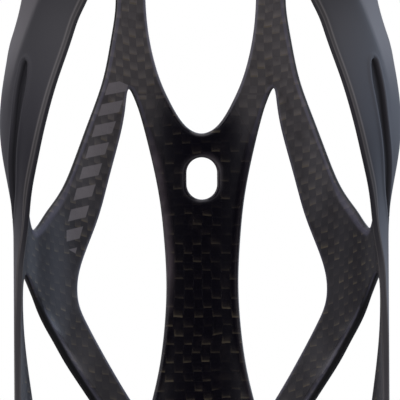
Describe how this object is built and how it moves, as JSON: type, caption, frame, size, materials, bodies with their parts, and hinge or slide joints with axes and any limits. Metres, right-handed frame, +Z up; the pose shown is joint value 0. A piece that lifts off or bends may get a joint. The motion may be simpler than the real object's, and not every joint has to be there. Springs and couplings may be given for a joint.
{
  "type": "water bottle cage",
  "caption": "Carbon-fibre bottle cage: slotted spine, V arms and branching ribs behind, grooved wings that wrap the bottle, struts and a base cup.",
  "frame": {"origin": "centre of the two mounting slots, on the plane of the bicycle tube that the pads rest on", "axes": "+X to the right, +Z up along the bottle, +Y from the bottle into the bicycle frame"},
  "size_m": [0.081, 0.0774, 0.1505],
  "materials": {
    "woven_carbon": "plain-weave carbon under a clear coat",
    "satin_carbon": "smooth satin black over carbon"
  },
  "bodies": {
    "root": {"spine": "woven_carbon", "lower_plate": "woven_carbon", "right_upper_arm": "woven_carbon", "left_upper_arm": "woven_carbon", "right_upper_rib": "woven_carbon", "left_upper_rib": "woven_carbon", "right_lower_rib": "woven_carbon", "left_lower_rib": "woven_carbon", "right_junction": "woven_carbon", "left_junction": "woven_carbon", "spine_mount_pad": "woven_carbon", "lower_plate_mount_pad": "woven_carbon", "right_wing": "satin_carbon", "left_wing": "satin_carbon", "right_top_loop": "satin_carbon", "left_top_loop": "satin_carbon", "right_strut": "satin_carbon", "left_strut": "satin_carbon", "base_cup": "satin_carbon", "base_floor": "satin_carbon", "front_lip": "satin_carbon"}
  },
  "joints": []
}
